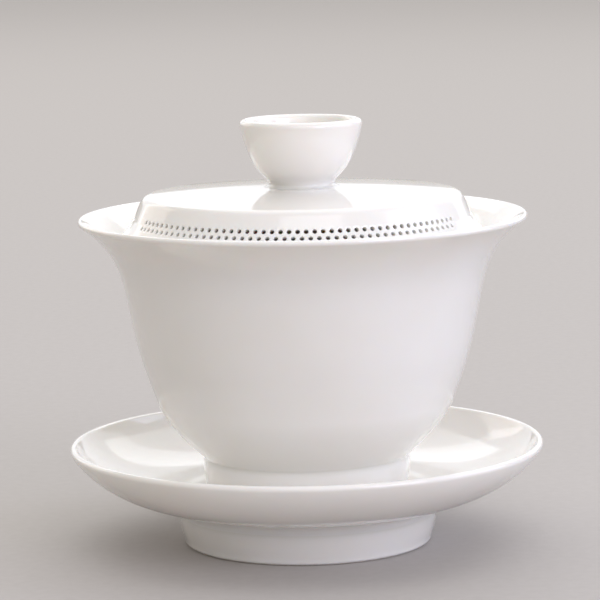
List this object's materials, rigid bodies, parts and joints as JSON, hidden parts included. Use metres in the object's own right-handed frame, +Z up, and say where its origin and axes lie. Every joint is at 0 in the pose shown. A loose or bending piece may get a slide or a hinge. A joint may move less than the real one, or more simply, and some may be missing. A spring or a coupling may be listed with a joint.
{
  "type": "gaiwan",
  "caption": "White porcelain gaiwan: flared tea bowl on a footed saucer, with a low domed lid that has strainer holes and a hollow cup-shaped knob.",
  "frame": {"origin": "centre of the saucer's foot ring, on the surface it stands on", "axes": "+Z up along the common axis of saucer, bowl and lid; -Y is the side with the strainer holes"},
  "size_m": [0.104, 0.104, 0.0932],
  "materials": {
    "body_glaze": "clear glaze on white porcelain",
    "lid_glaze": "clear glaze on thin white porcelain",
    "foot_glaze": "clear glaze, wiped off the flat that it stands on"
  },
  "bodies": {
    "saucer": {"saucer_dish": "body_glaze", "saucer_foot_ring": "foot_glaze"},
    "bowl": {"bowl_body": "body_glaze", "bowl_foot_ring": "foot_glaze"},
    "lid": {"lid_cover": "lid_glaze", "lid_knob": "lid_glaze"}
  },
  "joints": [
    {"name": "bowl_lift", "type": "slide", "parent": "saucer", "child": "bowl", "axis": [0, 0, 1], "range_m": [0, 0.04]},
    {"name": "lid_lift", "type": "slide", "parent": "bowl", "child": "lid", "axis": [0, 0, 1], "range_m": [0, 0.04]}
  ]
}
